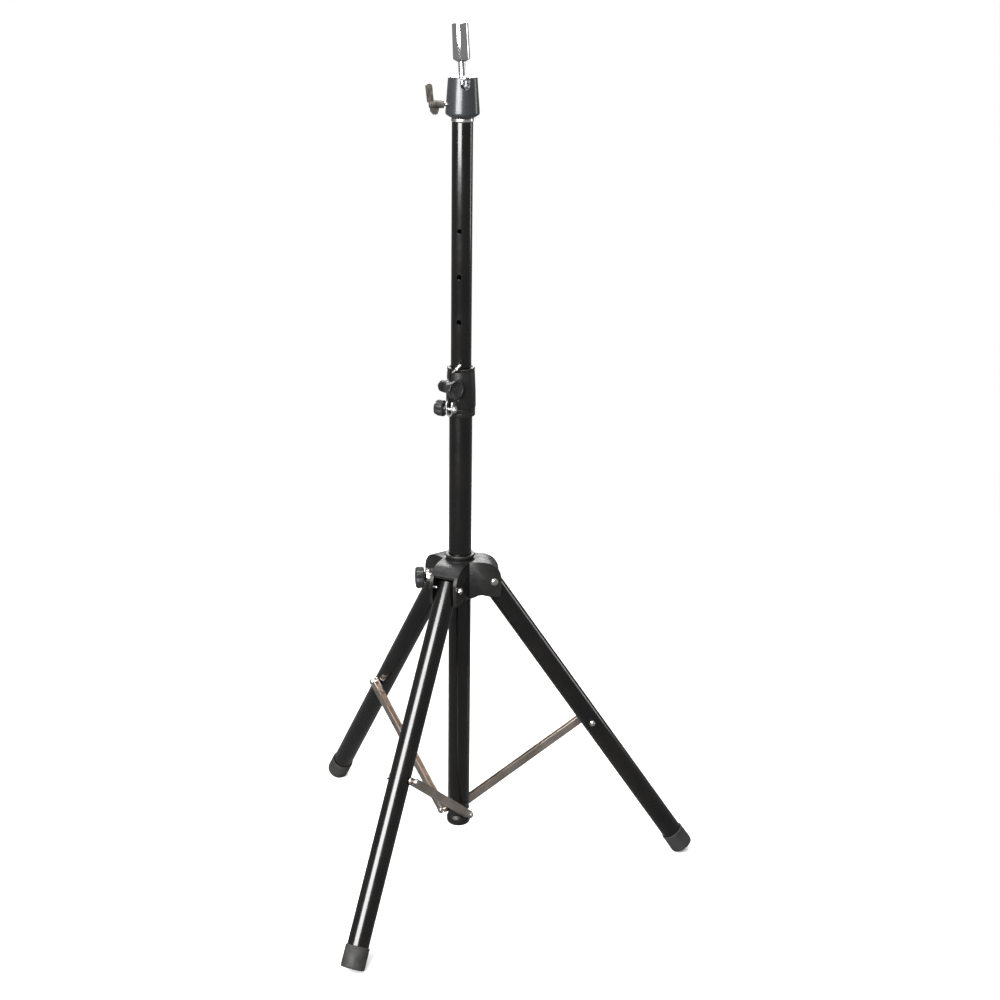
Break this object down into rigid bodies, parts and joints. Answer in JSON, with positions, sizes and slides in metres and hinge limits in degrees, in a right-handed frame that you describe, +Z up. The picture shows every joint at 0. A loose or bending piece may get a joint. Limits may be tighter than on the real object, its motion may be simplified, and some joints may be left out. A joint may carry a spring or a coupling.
{
  "type": "tripod stand",
  "caption": "Folding tripod stand with a telescoping black mast, braced tubular legs, a clamp collar and a chrome taper post on a tilting ball.",
  "frame": {"origin": "the point on the floor below the mast's axis", "axes": "+Z up the mast; +Y away from the viewer in the standing view, so leg 1 points 5.4 degrees from +X"},
  "size_m": [0.6201, 0.6754, 1.3444],
  "materials": {
    "black enamel": "gloss black enamel",
    "dark plastic": "satin dark grey moulding",
    "knob plastic": "satin black moulding",
    "black rubber": "matt black",
    "white nylon": "natural nylon",
    "graphite enamel": "glossy graphite",
    "chrome": "bright chrome plate",
    "bright zinc": "bright zinc plate",
    "nickel steel": "nickel plated sheet",
    "cast metal": "grey cast metal, satin"
  },
  "bodies": {
    "lower_mast": {"lower_tube": "black enamel", "mast_foot": "dark plastic", "brace_pin_1": "bright zinc", "brace_pin_2": "bright zinc", "brace_pin_3": "bright zinc", "collar": "dark plastic", "collar_bush": "white nylon", "clamp_nut": "bright zinc", "collar_band": "dark plastic", "band_bracket": "bright zinc", "band_nut": "bright zinc"},
    "clamp_screw": {"clamp_knob": "knob plastic", "clamp_stud": "bright zinc"},
    "band_screw": {"band_knob": "knob plastic", "band_stud": "bright zinc"},
    "lock_pin": {"lock_pin": "bright zinc"},
    "upper_mast": {"upper_tube": "black enamel", "upper_tube_guide": "white nylon", "head_ring": "bright zinc", "head_socket": "graphite enamel"},
    "head_lever": {"head_lever": "cast metal", "head_stud": "bright zinc"},
    "post": {"post_ball": "chrome", "post_taper": "chrome"},
    "hub": {"hub_body": "dark plastic", "hub_ring": "dark plastic", "hub_insert": "bright zinc", "hub_bolt_1": "bright zinc", "hub_nut_1": "bright zinc", "hub_bolt_2": "bright zinc", "hub_nut_2": "bright zinc", "hub_bolt_3": "bright zinc", "hub_nut_3": "bright zinc"},
    "hub_screw": {"hub_knob": "knob plastic", "hub_stud": "bright zinc"},
    "leg_1": {"leg_tube_1": "black enamel", "foot_cap_1": "black rubber", "leg_bolt_1": "bright zinc"},
    "brace_1": {"brace_1": "nickel steel", "brace_rivet_1": "bright zinc"},
    "leg_2": {"leg_tube_2": "black enamel", "foot_cap_2": "black rubber", "leg_bolt_2": "bright zinc"},
    "brace_2": {"brace_2": "nickel steel", "brace_rivet_2": "bright zinc"},
    "leg_3": {"leg_tube_3": "black enamel", "foot_cap_3": "black rubber", "leg_bolt_3": "bright zinc"},
    "brace_3": {"brace_3": "nickel steel", "brace_rivet_3": "bright zinc"}
  },
  "joints": [
    {"name": "hub_slide", "type": "slide", "parent": "lower_mast", "child": "hub", "axis": [0, 0, 1], "range_m": [0, 0.14288]},
    {"name": "mast_slide", "type": "slide", "parent": "lower_mast", "child": "upper_mast", "axis": [0, 0, 1], "range_m": [-0.36, 0.1364]},
    {"name": "lock_pin_slide", "type": "slide", "parent": "lower_mast", "child": "lock_pin", "axis": [0.2419, 0.9703, 0], "range_m": [0, 0.0034]},
    {"name": "clamp_turn", "type": "hinge", "parent": "lower_mast", "child": "clamp_screw", "pos_m": [-0.02298, -0.01928, 0.8115], "axis": [0.6428, -0.766, 0], "range_deg": [0, 540]},
    {"name": "band_turn", "type": "hinge", "parent": "lower_mast", "child": "band_screw", "pos_m": [-0.01643, -0.0309, 0.78], "axis": [-0.8829, 0.4695, 0], "range_deg": [0, 540]},
    {"name": "hub_screw_turn", "type": "hinge", "parent": "hub", "child": "hub_screw", "pos_m": [-0.0438, -0.00414, 0.5], "axis": [-0.9956, -0.0941, 0], "range_deg": [0, 540]},
    {"name": "lever_turn", "type": "hinge", "parent": "upper_mast", "child": "head_lever", "pos_m": [-0.02708, -0.00477, 1.229], "axis": [-0.9848, -0.1736, 0], "range_deg": [0, 330]},
    {"name": "post_tilt", "type": "hinge", "parent": "upper_mast", "child": "post", "pos_m": [0, 0, 1.258], "axis": [0.9848, 0.1736, 0], "range_deg": [0, 85]},
    {"name": "leg_fold_1", "type": "hinge", "parent": "hub", "child": "leg_1", "pos_m": [0.05177, 0.00489, 0.497], "axis": [-0.0941, 0.9956, 0], "range_deg": [0, 31.02]},
    {"name": "brace_fold_1", "type": "hinge", "parent": "lower_mast", "child": "brace_1", "pos_m": [0.01195, 0.00113, 0.094], "axis": [0.0941, -0.9956, 0], "range_deg": [0, 41.59]},
    {"name": "leg_fold_2", "type": "hinge", "parent": "hub", "child": "leg_2", "pos_m": [-0.03012, 0.04239, 0.497], "axis": [-0.8151, -0.5793, 0], "range_deg": [0, 31.02]},
    {"name": "brace_fold_2", "type": "hinge", "parent": "lower_mast", "child": "brace_2", "pos_m": [-0.00695, 0.00978, 0.094], "axis": [0.8151, 0.5793, 0], "range_deg": [0, 41.59]},
    {"name": "leg_fold_3", "type": "hinge", "parent": "hub", "child": "leg_3", "pos_m": [-0.02165, -0.04728, 0.497], "axis": [0.9092, -0.4163, 0], "range_deg": [0, 31.02]},
    {"name": "brace_fold_3", "type": "hinge", "parent": "lower_mast", "child": "brace_3", "pos_m": [-0.005, -0.01091, 0.094], "axis": [-0.9092, 0.4163, 0], "range_deg": [0, 41.59]}
  ],
  "couplings": [
    {"joint": "leg_fold_1", "follows": "hub_slide", "rad_per_m": 3.7868},
    {"joint": "brace_fold_1", "follows": "hub_slide", "rad_per_m": 5.0785},
    {"joint": "leg_fold_2", "follows": "hub_slide", "rad_per_m": 3.7868},
    {"joint": "brace_fold_2", "follows": "hub_slide", "rad_per_m": 5.0785},
    {"joint": "leg_fold_3", "follows": "hub_slide", "rad_per_m": 3.7868},
    {"joint": "brace_fold_3", "follows": "hub_slide", "rad_per_m": 5.0785}
  ]
}
